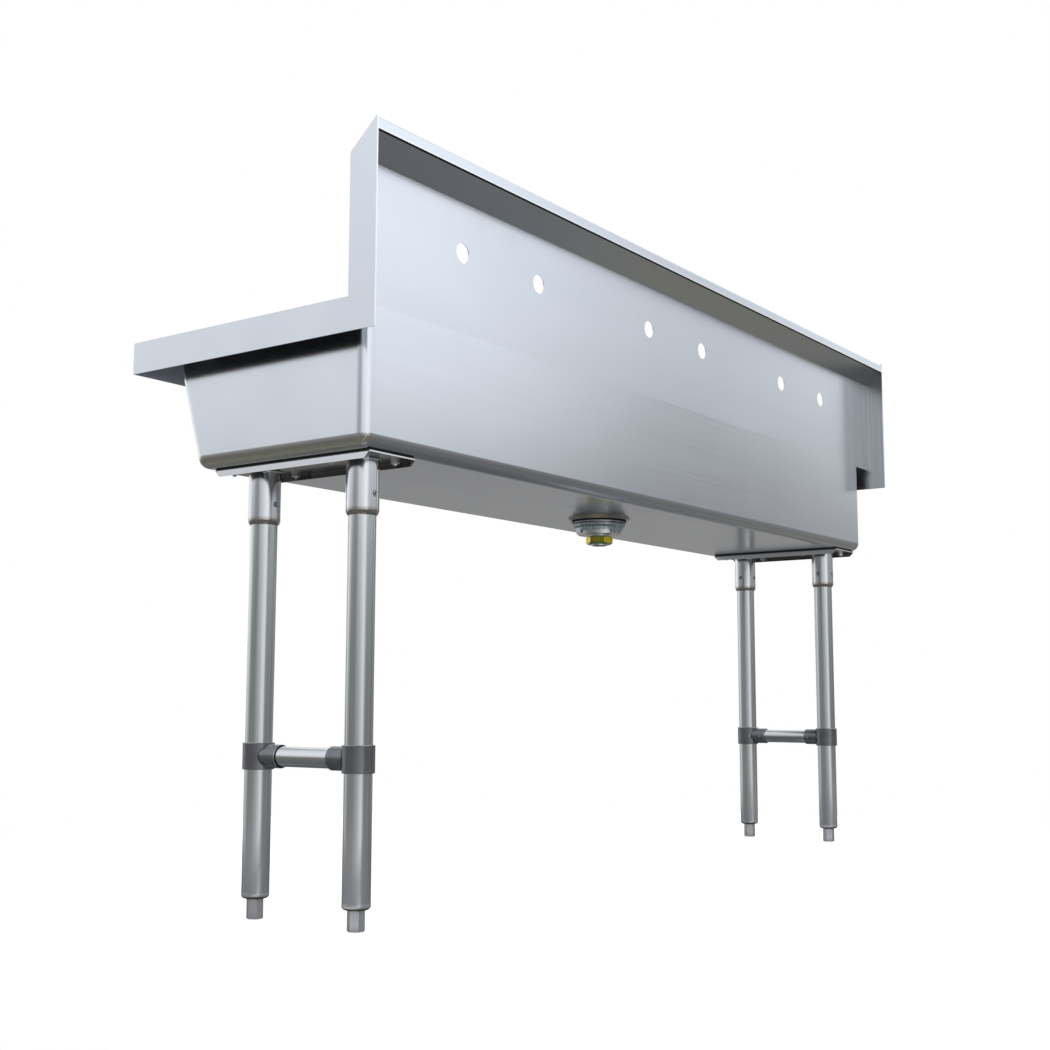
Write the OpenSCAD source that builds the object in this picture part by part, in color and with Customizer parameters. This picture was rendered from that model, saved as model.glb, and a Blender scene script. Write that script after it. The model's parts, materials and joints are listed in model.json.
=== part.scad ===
// Stainless steel hand-wash trough with a backsplash, on four adjustable legs.
// X runs along the wall, the user stands at -Y, the wall is at +Y and the floor is Z = 0.
// Left and right are the user's own.

/* [Overall] */
// Length along the wall
sink_length = 1828.8; // [1800:0.1:2400]
// Depth from the front apron to the wall
sink_depth = 508; // [490:1:620]
// Height of the rim above the floor
rim_height = 881; // [800:1:950]
// Thickness of the folded sheet
sheet_t = 1.5; // [1:0.1:2]
// Outside radius of a sharp fold
fold_r = 3; // [2.4:0.1:5]

/* [Bowl] */
// Depth of the bowl inside
bowl_depth = 203.2; // [150:0.1:260]
// Width of the deck at each end of the bowl
end_deck_w = 39.3; // [30:0.1:50]
// Width of the deck in front of the bowl
front_deck_w = 44.3; // [40:0.1:80]
// How far the front wall leans in between rim and bottom
front_lean = 62.1; // [20:0.1:90]
// Outside radius of the bowl's folds and corners
bowl_fold_r = 19; // [10:0.1:22]
// Height of the apron that hangs from the rim
apron_h = 50; // [30:1:80]

/* [Backsplash] */
// Depth from its front face to the wall
splash_depth = 50.8; // [40:0.1:80]
// Height of its upright face above the rim
splash_face_h = 209; // [180:1:230]
// Height of its top above the rim
splash_rise = 254; // [245:1:300]
// Height of the flange that lies on the wall
wall_flange_h = 21; // [15:1:40]

/* [Faucet holes] */
// Number of washing stations
stations = 3; // [1:1:3]
// Distance between neighbouring stations
station_pitch = 558.8; // [450:0.1:600]
// Distance between the two holes of a station
faucet_spacing = 203.2; // [100:0.1:300]
// Diameter of a faucet hole
faucet_hole_d = 31.75; // [20:0.05:40]
// Height of the holes above the rim
faucet_hole_rise = 128; // [60:1:160]

/* [Leg channels] */
// Width of a channel
channel_w = 101.6; // [90:0.1:120]
// How far a channel stays back from the bowl's rear wall
channel_setback = 11.7; // [8:0.1:20]
// How far a channel stays back from the bowl's front wall at the bottom
toe_setback = 23.1; // [16:0.1:30]
// Height of a channel over its flanges
channel_h = 11; // [9:0.5:30]
// Thickness of the channel's sheet
channel_t = 2; // [1.5:0.1:2.8]
// Thickness of the pad between bowl and channel
pad_t = 2; // [1:0.1:5]
// How far the pad stays back from the channel's edges
pad_inset = 1; // [1:0.5:8]
// Distance of a leg's four studs from its middle, along and across
stud_offset = 33; // [31:0.5:35]
// Radius of a welded stud
stud_r = 3.2; // [3:0.1:4]

/* [Legs] */
// Distance from the sink's end to a leg's middle
leg_inset = 109.9; // [105:0.1:140]
// Distance from a channel's end to a leg's middle
leg_setback = 57.15; // [50:0.05:65]
// Diameter of a leg tube
leg_d = 41.3; // [36:0.1:45]
// Wall of a leg tube
leg_wall = 1.5; // [1:0.1:3]
// Diameter of a leg socket
socket_d = 49.2; // [48.8:0.1:56]
// Length of a leg socket
socket_l = 83.2; // [60:0.1:120]
// Distance from a socket's bottom to its set screws
socket_screw_rise = 31; // [20:0.5:45]
// Radius of a socket's set screw
socket_screw_r = 4; // [3:0.1:5]

/* [Crossbars] */
// Height of a crossbar's middle above the floor
crossbar_height = 239; // [120:1:400]
// Diameter of a crossbar
crossbar_d = 30; // [25:0.1:32]
// Wall of a crossbar
crossbar_wall = 1.5; // [1:0.1:3]
// Diameter of a tee clamp's ring
clamp_ring_d = 48; // [46:0.1:56]
// Height of a tee clamp's ring
clamp_ring_h = 40; // [36:0.5:60]
// Diameter of a tee clamp's boss
clamp_boss_d = 35; // [34.5:0.1:36]
// Reach of a tee clamp's boss from the leg's middle
clamp_reach = 50; // [45:0.5:60]
// Radius of a tee clamp's set screw
clamp_screw_r = 3; // [2:0.1:4]
// Turn of the ring's set screw from inboard towards the crossbar
ring_screw_turn = 34; // [20:1:40]

/* [Feet] */
// Distance from the floor to the collar below a leg tube
foot_free_h = 29.5; // [20:0.5:45]
// Width of the hexagonal foot across its corners
foot_d = 26; // [20:0.1:30]
// Radius of the foot's threaded stem
foot_stem_r = 6; // [5:0.1:8]
// Length of the foot's threaded stem
foot_stem_l = 52; // [40:1:80]
// Height of the collar below a leg tube
collar_h = 8; // [6:0.5:14]
// Length of the plug inside a leg tube
plug_l = 26; // [15:1:40]

/* [Drain] */
// How far the drain sits in front of the channels' middle
drain_offset = 7.75; // [0:0.05:40]
// Radius of the drain recess at the bowl's bottom
recess_r = 62; // [60:0.5:75]
// Depth of the drain recess
recess_h = 4.6; // [3:0.1:9]
// Radius of the hole in the bowl
drain_hole_r = 44.5; // [44:0.1:48]
// Radius of the strainer's flange
strainer_flange_r = 53.5; // [52:0.1:55]
// Radius of the strainer's cup
cup_r = 42; // [41:0.1:42.4]
// Depth of the strainer's cup below the recess
cup_drop = 27.1; // [27:0.1:32]
// Wall of the strainer's cup
cup_wall = 1.8; // [1.2:0.1:2.5]
// Radius of the locknut's upper rim
locknut_r = 50.5; // [48:0.1:52]
// Radius of the locknut's lower skirt
locknut_skirt_r = 45; // [44.6:0.1:46]
// Height of the locknut without its lugs
locknut_h = 13.7; // [13:0.1:16]
// Height of the locknut's lugs
lug_h = 6; // [3:0.1:6]
// Width of the coupling nut across its corners
coupling_d = 53.5; // [52:0.1:58]
// Height of the coupling nut
coupling_h = 15.5; // [13:0.1:18]
// Turn of the coupling nut's corners from the wall's line
coupling_turn = 53; // [0:1:59]
// Diameter of the outlet tube
outlet_d = 31.75; // [30:0.05:33]
// How far the outlet tube shows below the coupling nut
outlet_free_l = 2.5; // [2:0.1:30]

/* [Hidden] */
$fn = 96;

// How far a cut runs past the solid it opens
cut_over = 1;
// Radial clearance of a piece that is pressed or screwed in
fit_gap = 0.05;
// Gap between a moving piece and the piece it rests on
rest_gap = 0.3;

// Small sizes of the channel's nuts
stud_free_l = 8;
stud_edge = 0.8;
nut_h = 5.6;
nut_r = 6.6;
nut_edge = 0.7;

// Small sizes of the sockets, the clamps and their set screws
socket_wall = 2;
socket_lip_r = 10;
socket_bead_r = 3;
boss_screw_inset = 10;
clamp_edge = 0.8;
screw_key_share = 0.56;

// Small sizes of the feet
foot_edge = 1.2;
stem_edge = 1.2;
collar_share = 0.75;

// Small sizes of the strainer and its basket
recess_slope_share = 0.75;
seal_t = 1;
flange_t = 1.2;
dish_r = 1.5;
spigot_wall = 4.6;
spigot_free_l = 3.1;
basket_wall = 1;
basket_taper_share = 0.9;
basket_hole_r = 2.4;
basket_ring_shares = [0.28, 0.52, 0.76];
basket_full_ring = 26;
knob_base_r = 5.5;
knob_base_h = 1.5;
knob_post_r = 3;
knob_head_r = 7.5;
knob_head_h = 5;
knob_edge = 1.5;

// Small sizes of the pieces below the strainer
gasket_t = 3;
gasket_inset = 0.5;
ring_t = 3;
ring_overhang = 0.7;
locknut_neck_h = 1;
locknut_neck_w = 3;
locknut_rim_h = 4.2;
locknut_taper_h = 3.5;
locknut_taper_w = 1;
lugs = 3;
lug_turn = 23;
lug_gap_share = 1.36;
coupling_edge = 3.5;
coupling_floor_t = 3;
outlet_wall = 1.4;
outlet_lip_t = 1.6;
washer_t = 1.5;

// Places of the sheet metal
half_l = sink_length / 2;
half_d = sink_depth / 2;
splash_face_y = half_d - splash_depth;
splash_back_y = splash_face_y + sheet_t;
bowl_end_x = half_l - end_deck_w;
bowl_front_y = front_deck_w - half_d;
bottom_z = rim_height - bowl_depth - sheet_t;
lean_angle = atan(front_lean / (rim_height - bottom_z));
bowl_toe_y = bowl_front_y + front_lean;
bottom_w = splash_back_y - bowl_toe_y;
channel_l = bottom_w - channel_setback - toe_setback;
middle_y = splash_back_y - channel_setback - channel_l / 2;
drain_y = middle_y - drain_offset;
splash_top_z = rim_height + splash_rise;
slope_angle = atan((splash_rise - splash_face_h) / splash_depth);

// Places of the legs
leg_x = half_l - leg_inset;
leg_r = leg_d / 2;
leg_spread = channel_l - 2 * leg_setback;
front_leg_y = middle_y - leg_spread / 2;
rear_leg_y = middle_y + leg_spread / 2;
channel_top_z = bottom_z - pad_t;
web_z = channel_top_z - channel_t;
socket_bottom_z = web_z - socket_l;
socket_r = socket_d / 2;
leg_bottom_z = foot_free_h + collar_h;

// Places of the drain, counted down from the recess
recess_floor_z = bottom_z - recess_h;
recess_floor_r = recess_r - recess_h * recess_slope_share;
flange_z = recess_floor_z + sheet_t + seal_t;
cup_bottom_z = recess_floor_z - cup_drop;
locknut_top_z = recess_floor_z - gasket_t - ring_t;
locknut_bottom_z = locknut_top_z - locknut_h;
coupling_top_z = cup_bottom_z - spigot_free_l;
coupling_bottom_z = coupling_top_z - coupling_h;
outlet_r = outlet_d / 2;
spigot_r = outlet_r + spigot_wall;
outlet_lip_z = coupling_bottom_z + coupling_floor_t;
spigot_bottom_z = outlet_lip_z + outlet_lip_t + washer_t;
outlet_bottom_z = coupling_bottom_z - outlet_free_l;
basket_low_z = cup_bottom_z + cup_wall + rest_gap;

// Points along an arc about a centre
function arc(centre, r, from, to, steps) = [
    for (i = [0 : steps])
        centre + r * [cos(from + (to - from) * i / steps), sin(from + (to - from) * i / steps)]
];

// A fold of sheet whose axis runs along X
module fold_along_x(y, z, from, turn, length) {
    translate([-length / 2, y, z])
        rotate([90, 0, 90])
            rotate([0, 0, from])
                rotate_extrude(angle = turn)
                    translate([fold_r - sheet_t, 0])
                        square([sheet_t, length]);
}

// A box that is centred along X
module slab(length, y0, y1, z0, z1) {
    translate([-length / 2, y0, z0])
        cube([length, y1 - y0, z1 - z0]);
}

// A rod that ends in a ball of its own radius, upwards from the ball's middle
module ball_rod(r, length) {
    rotate_extrude()
        intersection() {
            union() {
                circle(r);
                square([r, length]);
            }
            translate([0, -r])
                square([r, r + length]);
        }
}

// The bowl's outline as a solid with ball corners, drawn in by inset on every wall
module bowl_form(inset, top_z) {
    r = bowl_fold_r - inset;
    low_z = bottom_z + inset;
    mid_z = low_z + r;
    end_x = bowl_end_x - inset - r;
    back_y = splash_back_y - inset;
    lean_y = tan(lean_angle);
    front_y = bowl_front_y + inset / cos(lean_angle) - (top_z - rim_height) * lean_y;
    toe_y = front_y + (top_z - mid_z) * lean_y + r / cos(lean_angle);
    intersection() {
        union() {
            // From the end: upright back, leaning front, folds along the bottom
            rotate([90, 0, 90])
                linear_extrude(2 * end_x, center = true) {
                    polygon([
                        [front_y, top_z],
                        [toe_y - r * cos(lean_angle), mid_z - r * sin(lean_angle)],
                        [toe_y, mid_z], [toe_y, low_z], [back_y - r, low_z], [back_y - r, mid_z],
                        [back_y, mid_z], [back_y, top_z]
                    ]);
                    for (y = [toe_y, back_y - r])
                        translate([y, mid_z])
                            circle(r);
                }
            // The same without its folds, out to the ends
            rotate([90, 0, 90])
                linear_extrude(2 * (end_x + r), center = true)
                    polygon([
                        [front_y + r / cos(lean_angle), top_z], [toe_y, mid_z],
                        [back_y - r, mid_z], [back_y - r, top_z]
                    ]);
            for (hand = [0, 1])
                mirror([hand, 0, 0]) {
                    translate([end_x, back_y - r, mid_z])
                        rotate([90, 0, 0])
                            cylinder(h = back_y - r - toe_y, r = r);
                    translate([end_x, back_y - r, mid_z])
                        rotate([0, 0, 180])
                            ball_rod(r, top_z - mid_z + cut_over);
                    translate([end_x, toe_y, mid_z])
                        rotate([lean_angle, 0, 0])
                            rotate([0, 0, 180])
                                ball_rod(r, (top_z - mid_z) / cos(lean_angle) + r + cut_over);
                }
        }
        translate([-sink_length, -sink_depth, 0])
            cube([2 * sink_length, 2 * sink_depth, top_z]);
    }
}

module at_drain() {
    translate([0, drain_y, 0])
        children();
}

module trough_bowl() {
    color("lightsteelblue")
        difference() {
            union() {
                bowl_form(0, rim_height);
                at_drain()
                    translate([0, 0, recess_floor_z])
                        cylinder(h = recess_h + sheet_t / 2, r1 = recess_floor_r, r2 = recess_r);
            }
            bowl_form(sheet_t, rim_height + cut_over);
            at_drain() {
                translate([0, 0, recess_floor_z + sheet_t])
                    cylinder(h = recess_h + cut_over, r1 = recess_floor_r,
                             r2 = recess_r + cut_over * recess_slope_share);
                translate([0, 0, recess_floor_z - cut_over])
                    cylinder(h = recess_h + 2 * cut_over, r = drain_hole_r);
            }
        }
}

// The backsplash's folds from the end, lowest first, drawn in by inset
function splash_edge(inset) = concat(
    arc([splash_face_y + fold_r, rim_height + splash_face_h - fold_r * tan((90 - slope_angle) / 2)],
        fold_r - inset, 180, 90 + slope_angle, 6),
    arc([half_d - fold_r, splash_top_z - fold_r * tan((90 + slope_angle) / 2)],
        fold_r - inset, 90 + slope_angle, 0, 10)
);

// Upright face, slanted top and a flange down the wall, folded from one sheet
module backsplash() {
    inner = splash_edge(sheet_t);
    flange_low_z = splash_top_z - wall_flange_h;
    color("lightsteelblue")
        difference() {
            rotate([90, 0, 90])
                linear_extrude(sink_length - 2 * sheet_t, center = true)
                    polygon(concat(
                        [[splash_face_y, rim_height]],
                        splash_edge(0),
                        [[half_d, flange_low_z], [half_d - sheet_t, flange_low_z]],
                        [for (i = [len(inner) - 1 : -1 : 0]) inner[i]],
                        [[splash_back_y, rim_height]]
                    ));
            faucet_holes();
        }
}

module faucet_holes() {
    for (i = [0 : stations - 1])
        for (side = [-1, 1])
            translate([
                (i - (stations - 1) / 2) * station_pitch + side * faucet_spacing / 2,
                splash_face_y - cut_over,
                rim_height + faucet_hole_rise
            ])
                rotate([-90, 0, 0])
                    cylinder(h = sheet_t + 2 * cut_over, d = faucet_hole_d);
}

// Deck round the bowl with the front apron folded down
module rim_deck() {
    length = sink_length - 2 * sheet_t;
    color("lightsteelblue")
        difference() {
            union() {
                slab(length, fold_r - half_d, splash_back_y, rim_height - sheet_t, rim_height);
                fold_along_x(fold_r - half_d, rim_height - fold_r, 90, 90, length);
                slab(length, -half_d, sheet_t - half_d, rim_height - apron_h, rim_height - fold_r);
            }
            bowl_form(0, rim_height + cut_over);
        }
}

// One flat plate closes the rim, the apron and the backsplash at each end
module end_plate(side) {
    color("lightsteelblue")
        translate([side * (half_l - sheet_t / 2), 0, 0])
            rotate([90, 0, 90])
                linear_extrude(sheet_t, center = true)
                    union() {
                        polygon([
                            [-half_d, rim_height - apron_h],
                            [half_d, rim_height - apron_h],
                            [half_d, splash_top_z],
                            [splash_face_y, rim_height + splash_face_h],
                            [splash_face_y, rim_height],
                            [fold_r - half_d, rim_height],
                            [-half_d, rim_height - fold_r]
                        ]);
                        translate([fold_r - half_d, rim_height - fold_r])
                            circle(fold_r);
                    }
}

// Places one copy at each of the four studs round both legs of a channel
module at_studs() {
    for (leg_y = [front_leg_y, rear_leg_y])
        for (x = [-stud_offset, stud_offset])
            for (y = [-stud_offset, stud_offset])
                translate([x, leg_y + y, 0])
                    children();
}

module channel_pad(side) {
    half_pad = channel_l / 2 - pad_inset;
    color("dimgray")
        translate([side * leg_x, 0, 0])
            difference() {
                slab(channel_w - 2 * pad_inset, middle_y - half_pad, middle_y + half_pad, channel_top_z, bottom_z);
                at_studs()
                    translate([0, 0, channel_top_z - cut_over])
                        cylinder(h = pad_t + 2 * cut_over, r = stud_r + fit_gap);
            }
}

module leg_channel(side) {
    low_z = channel_top_z - channel_h;
    slant = (channel_h - channel_t) * sqrt(2);
    color("silver")
        translate([side * leg_x, 0, 0])
            difference() {
                union() {
                    slab(channel_w - 2 * fold_r, middle_y - channel_l / 2, middle_y + channel_l / 2,
                        web_z, channel_top_z);
                    for (hand = [0, 1])
                        mirror([hand, 0, 0])
                            translate([channel_w / 2 - fold_r, 0, 0])
                                channel_edge(low_z);
                }
                // Both ends of the flanges are cut at a slant
                for (end = [-1, 1])
                    translate([0, middle_y + end * channel_l / 2, low_z])
                        rotate([45, 0, 0])
                            cube([channel_w + 2 * cut_over, slant, slant], center = true);
                at_studs()
                    translate([0, 0, web_z - cut_over])
                        cylinder(h = channel_t + 2 * cut_over, r = stud_r + fit_gap);
            }
}

// One folded edge of a channel with its flange
module channel_edge(low_z) {
    translate([0, middle_y + channel_l / 2, channel_top_z - fold_r])
        rotate([90, 0, 0])
            rotate_extrude(angle = 90)
                translate([fold_r - channel_t, 0])
                    square([channel_t, channel_l]);
    translate([fold_r - channel_t, middle_y - channel_l / 2, low_z])
        cube([channel_t, channel_l, channel_h - fold_r]);
}

// Welded studs with nuts hold each channel up against the bowl
module channel_studs() {
    color("gainsboro")
        for (side = [-1, 1])
            translate([side * leg_x, 0, 0])
                at_studs() {
                    rotate_extrude()
                        polygon([
                            [0, web_z - stud_free_l], [stud_r - stud_edge, web_z - stud_free_l],
                            [stud_r, web_z - stud_free_l + stud_edge], [stud_r, bottom_z], [0, bottom_z]
                        ]);
                    intersection() {
                        translate([0, 0, web_z - nut_h])
                            cylinder(h = nut_h, r = nut_r, $fn = 6);
                        rotate_extrude()
                            polygon([
                                [0, web_z - nut_h], [nut_r - nut_edge, web_z - nut_h],
                                [nut_r, web_z - nut_h + nut_edge], [nut_r, web_z], [0, web_z]
                            ]);
                    }
                }
}

// The socket's wall rolls in at the bottom until it meets the leg
module leg_socket(side, y) {
    lip_in = leg_r + rest_gap;
    lip_turn = acos(1 - (socket_r - lip_in) / socket_lip_r);
    lip_centre = [socket_r - socket_lip_r, socket_bottom_z + socket_lip_r * sin(lip_turn)];
    outer = arc(lip_centre, socket_lip_r, 0, -lip_turn, 6);
    inner = arc(lip_centre, socket_lip_r - socket_wall, -lip_turn, 0, 6);
    color("silver")
        translate([side * leg_x, y, 0])
            difference() {
                rotate_extrude()
                    polygon(concat(
                        [[socket_r - socket_wall, web_z], [socket_r + socket_bead_r, web_z]],
                        arc([socket_r + socket_bead_r, web_z - socket_bead_r], socket_bead_r, 90, 180, 5),
                        outer,
                        [for (p = inner) [max(p.x, lip_in), p.y]]
                    ));
                socket_screw_places(side)
                    cylinder(h = socket_r, r = socket_screw_r);
            }
}

// Each socket has one set screw facing the wall and one facing inboard
module socket_screw_places(side) {
    for (turn = [90, side > 0 ? 180 : 0])
        translate([0, 0, socket_bottom_z + socket_screw_rise])
            rotate([0, 0, turn])
                translate([leg_r + fit_gap, 0, 0])
                    rotate([0, 90, 0])
                        children();
}

// A set screw with a hexagon socket, from its point outwards
module set_screw(length, r) {
    difference() {
        cylinder(h = length, r = r - fit_gap);
        translate([0, 0, length / 2])
            cylinder(h = length, r = r * screw_key_share, $fn = 6);
    }
}

module socket_set_screws() {
    color("gray")
        for (side = [-1, 1])
            for (y = [front_leg_y, rear_leg_y])
                translate([side * leg_x, y, 0])
                    socket_screw_places(side)
                        set_screw(socket_r - leg_r, socket_screw_r);
}

module leg_tube(side, y) {
    length = web_z - leg_bottom_z;
    color("silver")
        translate([side * leg_x, y, leg_bottom_z])
            difference() {
                cylinder(h = length, r = leg_r);
                translate([0, 0, -cut_over])
                    cylinder(h = length + 2 * cut_over, r = leg_r - leg_wall);
            }
}

// A ring on the leg with a boss that reaches along the crossbar
module tee_clamp(side, y, toward) {
    ring_r = clamp_ring_d / 2;
    boss_r = clamp_boss_d / 2;
    half_h = clamp_ring_h / 2;
    color("dimgray")
        translate([side * leg_x, y, crossbar_height])
            difference() {
                union() {
                    rotate_extrude()
                        polygon([
                            [0, -half_h], [ring_r - clamp_edge, -half_h],
                            [ring_r, clamp_edge - half_h], [ring_r, half_h - clamp_edge],
                            [ring_r - clamp_edge, half_h], [0, half_h]
                        ]);
                    rotate([-90 * toward, 0, 0])
                        rotate_extrude()
                            polygon([
                                [0, 0], [boss_r, 0], [boss_r, clamp_reach - clamp_edge],
                                [boss_r - clamp_edge, clamp_reach], [0, clamp_reach]
                            ]);
                }
                translate([0, 0, -half_h - cut_over])
                    cylinder(h = clamp_ring_h + 2 * cut_over, r = leg_r + fit_gap);
                rotate([-90 * toward, 0, 0])
                    translate([0, 0, ring_r])
                        cylinder(h = clamp_reach, r = crossbar_d / 2 + fit_gap);
                clamp_screw_places(side, toward, cut_over)
                    cylinder(h = ring_r, r = clamp_screw_r);
            }
}

// The ring's screw is turned towards the crossbar, the boss's faces inboard; inner runs into the bores
module clamp_screw_places(side, toward, inner) {
    inboard = side > 0 ? 180 : 0;
    rotate([0, 0, inboard - side * toward * ring_screw_turn])
        translate([leg_r + fit_gap - inner, 0, 0])
            rotate([0, 90, 0])
                children();
    translate([0, toward * (clamp_reach - boss_screw_inset), 0])
        rotate([0, 0, inboard])
            translate([crossbar_d / 2 + fit_gap - inner, 0, 0])
                rotate([0, 90, 0])
                    children();
}

module clamp_set_screws() {
    color("gainsboro")
        for (side = [-1, 1])
            for (toward = [-1, 1])
                translate([side * leg_x, toward > 0 ? front_leg_y : rear_leg_y, crossbar_height])
                    clamp_screw_places(side, toward, 0)
                        set_screw(clamp_ring_d / 2 - leg_r - fit_gap, clamp_screw_r);
}

module crossbar(side) {
    length = leg_spread - clamp_ring_d;
    color("silver")
        translate([side * leg_x, middle_y, crossbar_height])
            rotate([90, 0, 0])
                difference() {
                    cylinder(h = length, d = crossbar_d, center = true);
                    cylinder(h = length + 2 * cut_over, d = crossbar_d - 2 * crossbar_wall, center = true);
                }
}

// A plug pressed into the leg, with a rounded collar and a threaded bore
module foot_insert(side, y) {
    collar_r = leg_r + rest_gap;
    round_r = collar_h * collar_share;
    plug_r = leg_r - leg_wall - fit_gap;
    color("gray")
        translate([side * leg_x, y, foot_free_h])
            difference() {
                rotate_extrude()
                    polygon(concat(
                        [[0, 0]],
                        arc([collar_r - round_r, round_r], round_r, -90, 0, 7),
                        [
                            [collar_r, collar_h], [plug_r, collar_h],
                            [plug_r, collar_h + plug_l], [0, collar_h + plug_l]
                        ]
                    ));
                translate([0, 0, -cut_over])
                    cylinder(h = collar_h + plug_l + 2 * cut_over, r = foot_stem_r + fit_gap);
            }
}

// A hexagonal foot on a threaded stem
module foot(side, y) {
    foot_r = foot_d / 2;
    flat_h = foot_free_h - rest_gap;
    color("gray")
        translate([side * leg_x, y, 0]) {
            intersection() {
                cylinder(h = flat_h, r = foot_r, $fn = 6);
                rotate_extrude()
                    polygon([
                        [0, 0], [foot_r - foot_edge, 0], [foot_r, foot_edge],
                        [foot_r, flat_h - foot_edge], [foot_r - foot_edge, flat_h], [0, flat_h]
                    ]);
            }
            translate([0, 0, flat_h / 2])
                cylinder(h = foot_free_h + foot_stem_l - stem_edge - flat_h / 2, r = foot_stem_r);
            translate([0, 0, foot_free_h + foot_stem_l - stem_edge])
                cylinder(h = stem_edge, r1 = foot_stem_r, r2 = foot_stem_r - stem_edge);
        }
}

// Flange, straight threaded cup and a spigot for the coupling nut
module strainer_body() {
    inner_r = cup_r - cup_wall;
    top_z = flange_z + flange_t;
    floor_z = cup_bottom_z + cup_wall;
    color("gainsboro")
        at_drain()
            rotate_extrude()
                polygon([
                    [spigot_r, cup_bottom_z], [cup_r, cup_bottom_z], [cup_r, flange_z],
                    [strainer_flange_r, flange_z], [strainer_flange_r, flange_z + flange_t / 2],
                    [strainer_flange_r - flange_t, top_z], [inner_r + dish_r, top_z],
                    [inner_r, top_z - dish_r], [inner_r, floor_z + dish_r], [inner_r - dish_r, floor_z],
                    [outlet_r + dish_r, floor_z], [outlet_r, floor_z - dish_r],
                    [outlet_r, spigot_bottom_z], [spigot_r, spigot_bottom_z]
                ]);
}

// A flat ring round the drain's axis
module drain_ring(inner_r, outer_r, low_z, thickness) {
    at_drain()
        translate([0, 0, low_z])
            difference() {
                cylinder(h = thickness, r = outer_r);
                translate([0, 0, -cut_over])
                    cylinder(h = thickness + 2 * cut_over, r = inner_r);
            }
}

module flange_seal() {
    color("dimgray")
        drain_ring(drain_hole_r, strainer_flange_r - flange_t, recess_floor_z + sheet_t, seal_t);
}

// A perforated crumb cup that lifts out of the strainer
module strainer_basket() {
    outer_r = cup_r - cup_wall - 2 * rest_gap;
    low_r = outer_r * basket_taper_share;
    height = flange_z - basket_low_z;
    color("silver")
        at_drain()
            difference() {
                translate([0, 0, basket_low_z])
                    cylinder(h = height, r1 = low_r, r2 = outer_r);
                translate([0, 0, basket_low_z + basket_wall])
                    cylinder(h = height, r1 = low_r - basket_wall, r2 = outer_r - basket_wall);
                for (share = basket_ring_shares) {
                    holes = round(basket_full_ring * share);
                    for (i = [0 : holes - 1])
                        rotate([0, 0, 360 * i / holes])
                            translate([share * low_r, 0, basket_low_z - cut_over])
                                cylinder(h = basket_wall + 2 * cut_over, r = basket_hole_r, $fn = 24);
                }
            }
}

// The knob that the basket is lifted by, riveted to its floor
module basket_knob() {
    low_z = basket_low_z + basket_wall;
    top_z = flange_z + flange_t;
    head_z = top_z - knob_head_h;
    color("gainsboro")
        at_drain()
            rotate_extrude()
                polygon(concat(
                    [
                        [0, low_z], [knob_base_r, low_z], [knob_base_r, low_z + knob_base_h],
                        [knob_post_r, low_z + 2 * knob_base_h], [knob_post_r, head_z]
                    ],
                    arc([knob_head_r - knob_edge, head_z + knob_edge], knob_edge, -90, 0, 4),
                    arc([knob_head_r - knob_edge, top_z - knob_edge], knob_edge, 0, 90, 4),
                    [[0, top_z]]
                ));
}

module drain_gasket() {
    color("black")
        drain_ring(cup_r + fit_gap, strainer_flange_r - gasket_inset, recess_floor_z - gasket_t, gasket_t);
}

module friction_ring() {
    color("silver")
        drain_ring(cup_r + fit_gap, locknut_r + ring_overhang, locknut_top_z, ring_t);
}

// Threaded on the cup: a flared rim above, a skirt with lugs below
module locknut() {
    thread_r = cup_r + fit_gap;
    neck_r = locknut_r - locknut_neck_w;
    neck_z = locknut_top_z - locknut_neck_h;
    rim_low_z = neck_z - locknut_rim_h;
    low_z = locknut_bottom_z - lug_h;
    gap_w = locknut_skirt_r * lug_gap_share;
    color("slategray")
        at_drain()
            difference() {
                rotate_extrude()
                    polygon([
                        [thread_r, locknut_top_z], [neck_r, locknut_top_z], [neck_r, neck_z],
                        [locknut_r, neck_z], [locknut_r, rim_low_z],
                        [locknut_skirt_r + locknut_taper_w, rim_low_z - locknut_taper_h],
                        [locknut_skirt_r, low_z], [thread_r, low_z]
                    ]);
                for (i = [0 : lugs - 1])
                    rotate([0, 0, lug_turn + 360 * i / lugs])
                        translate([0, -gap_w / 2, low_z - cut_over])
                            cube([locknut_r, gap_w, lug_h + cut_over]);
            }
}

// A hexagon nut with rounded-off corners and a floor that holds the outlet's lip
module coupling_nut() {
    corner = coupling_d / 2;
    color("goldenrod")
        at_drain()
            rotate([0, 0, coupling_turn])
                difference() {
                    intersection() {
                        translate([0, 0, coupling_bottom_z])
                            cylinder(h = coupling_h, r = corner, $fn = 6);
                        rotate_extrude()
                            polygon([
                                [0, coupling_bottom_z], [corner - coupling_edge, coupling_bottom_z],
                                [corner, coupling_bottom_z + coupling_edge],
                                [corner, coupling_top_z - coupling_edge],
                                [corner - coupling_edge, coupling_top_z], [0, coupling_top_z]
                            ]);
                    }
                    translate([0, 0, outlet_lip_z])
                        cylinder(h = coupling_h, r = spigot_r + fit_gap);
                    translate([0, 0, coupling_bottom_z - cut_over])
                        cylinder(h = coupling_h, r = outlet_r + fit_gap);
                }
}

module outlet_washer() {
    color("dimgray")
        drain_ring(outlet_r, spigot_r - fit_gap, spigot_bottom_z - washer_t, washer_t);
}

// A short tube hangs in the coupling nut by the lip at its top
module outlet_tube() {
    bore_r = outlet_r - outlet_wall;
    color("silver")
        at_drain()
            rotate_extrude()
                polygon([
                    [bore_r, outlet_bottom_z], [outlet_r, outlet_bottom_z], [outlet_r, outlet_lip_z],
                    [spigot_r - fit_gap, outlet_lip_z], [spigot_r - fit_gap, outlet_lip_z + outlet_lip_t],
                    [bore_r, outlet_lip_z + outlet_lip_t]
                ]);
}

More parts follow.
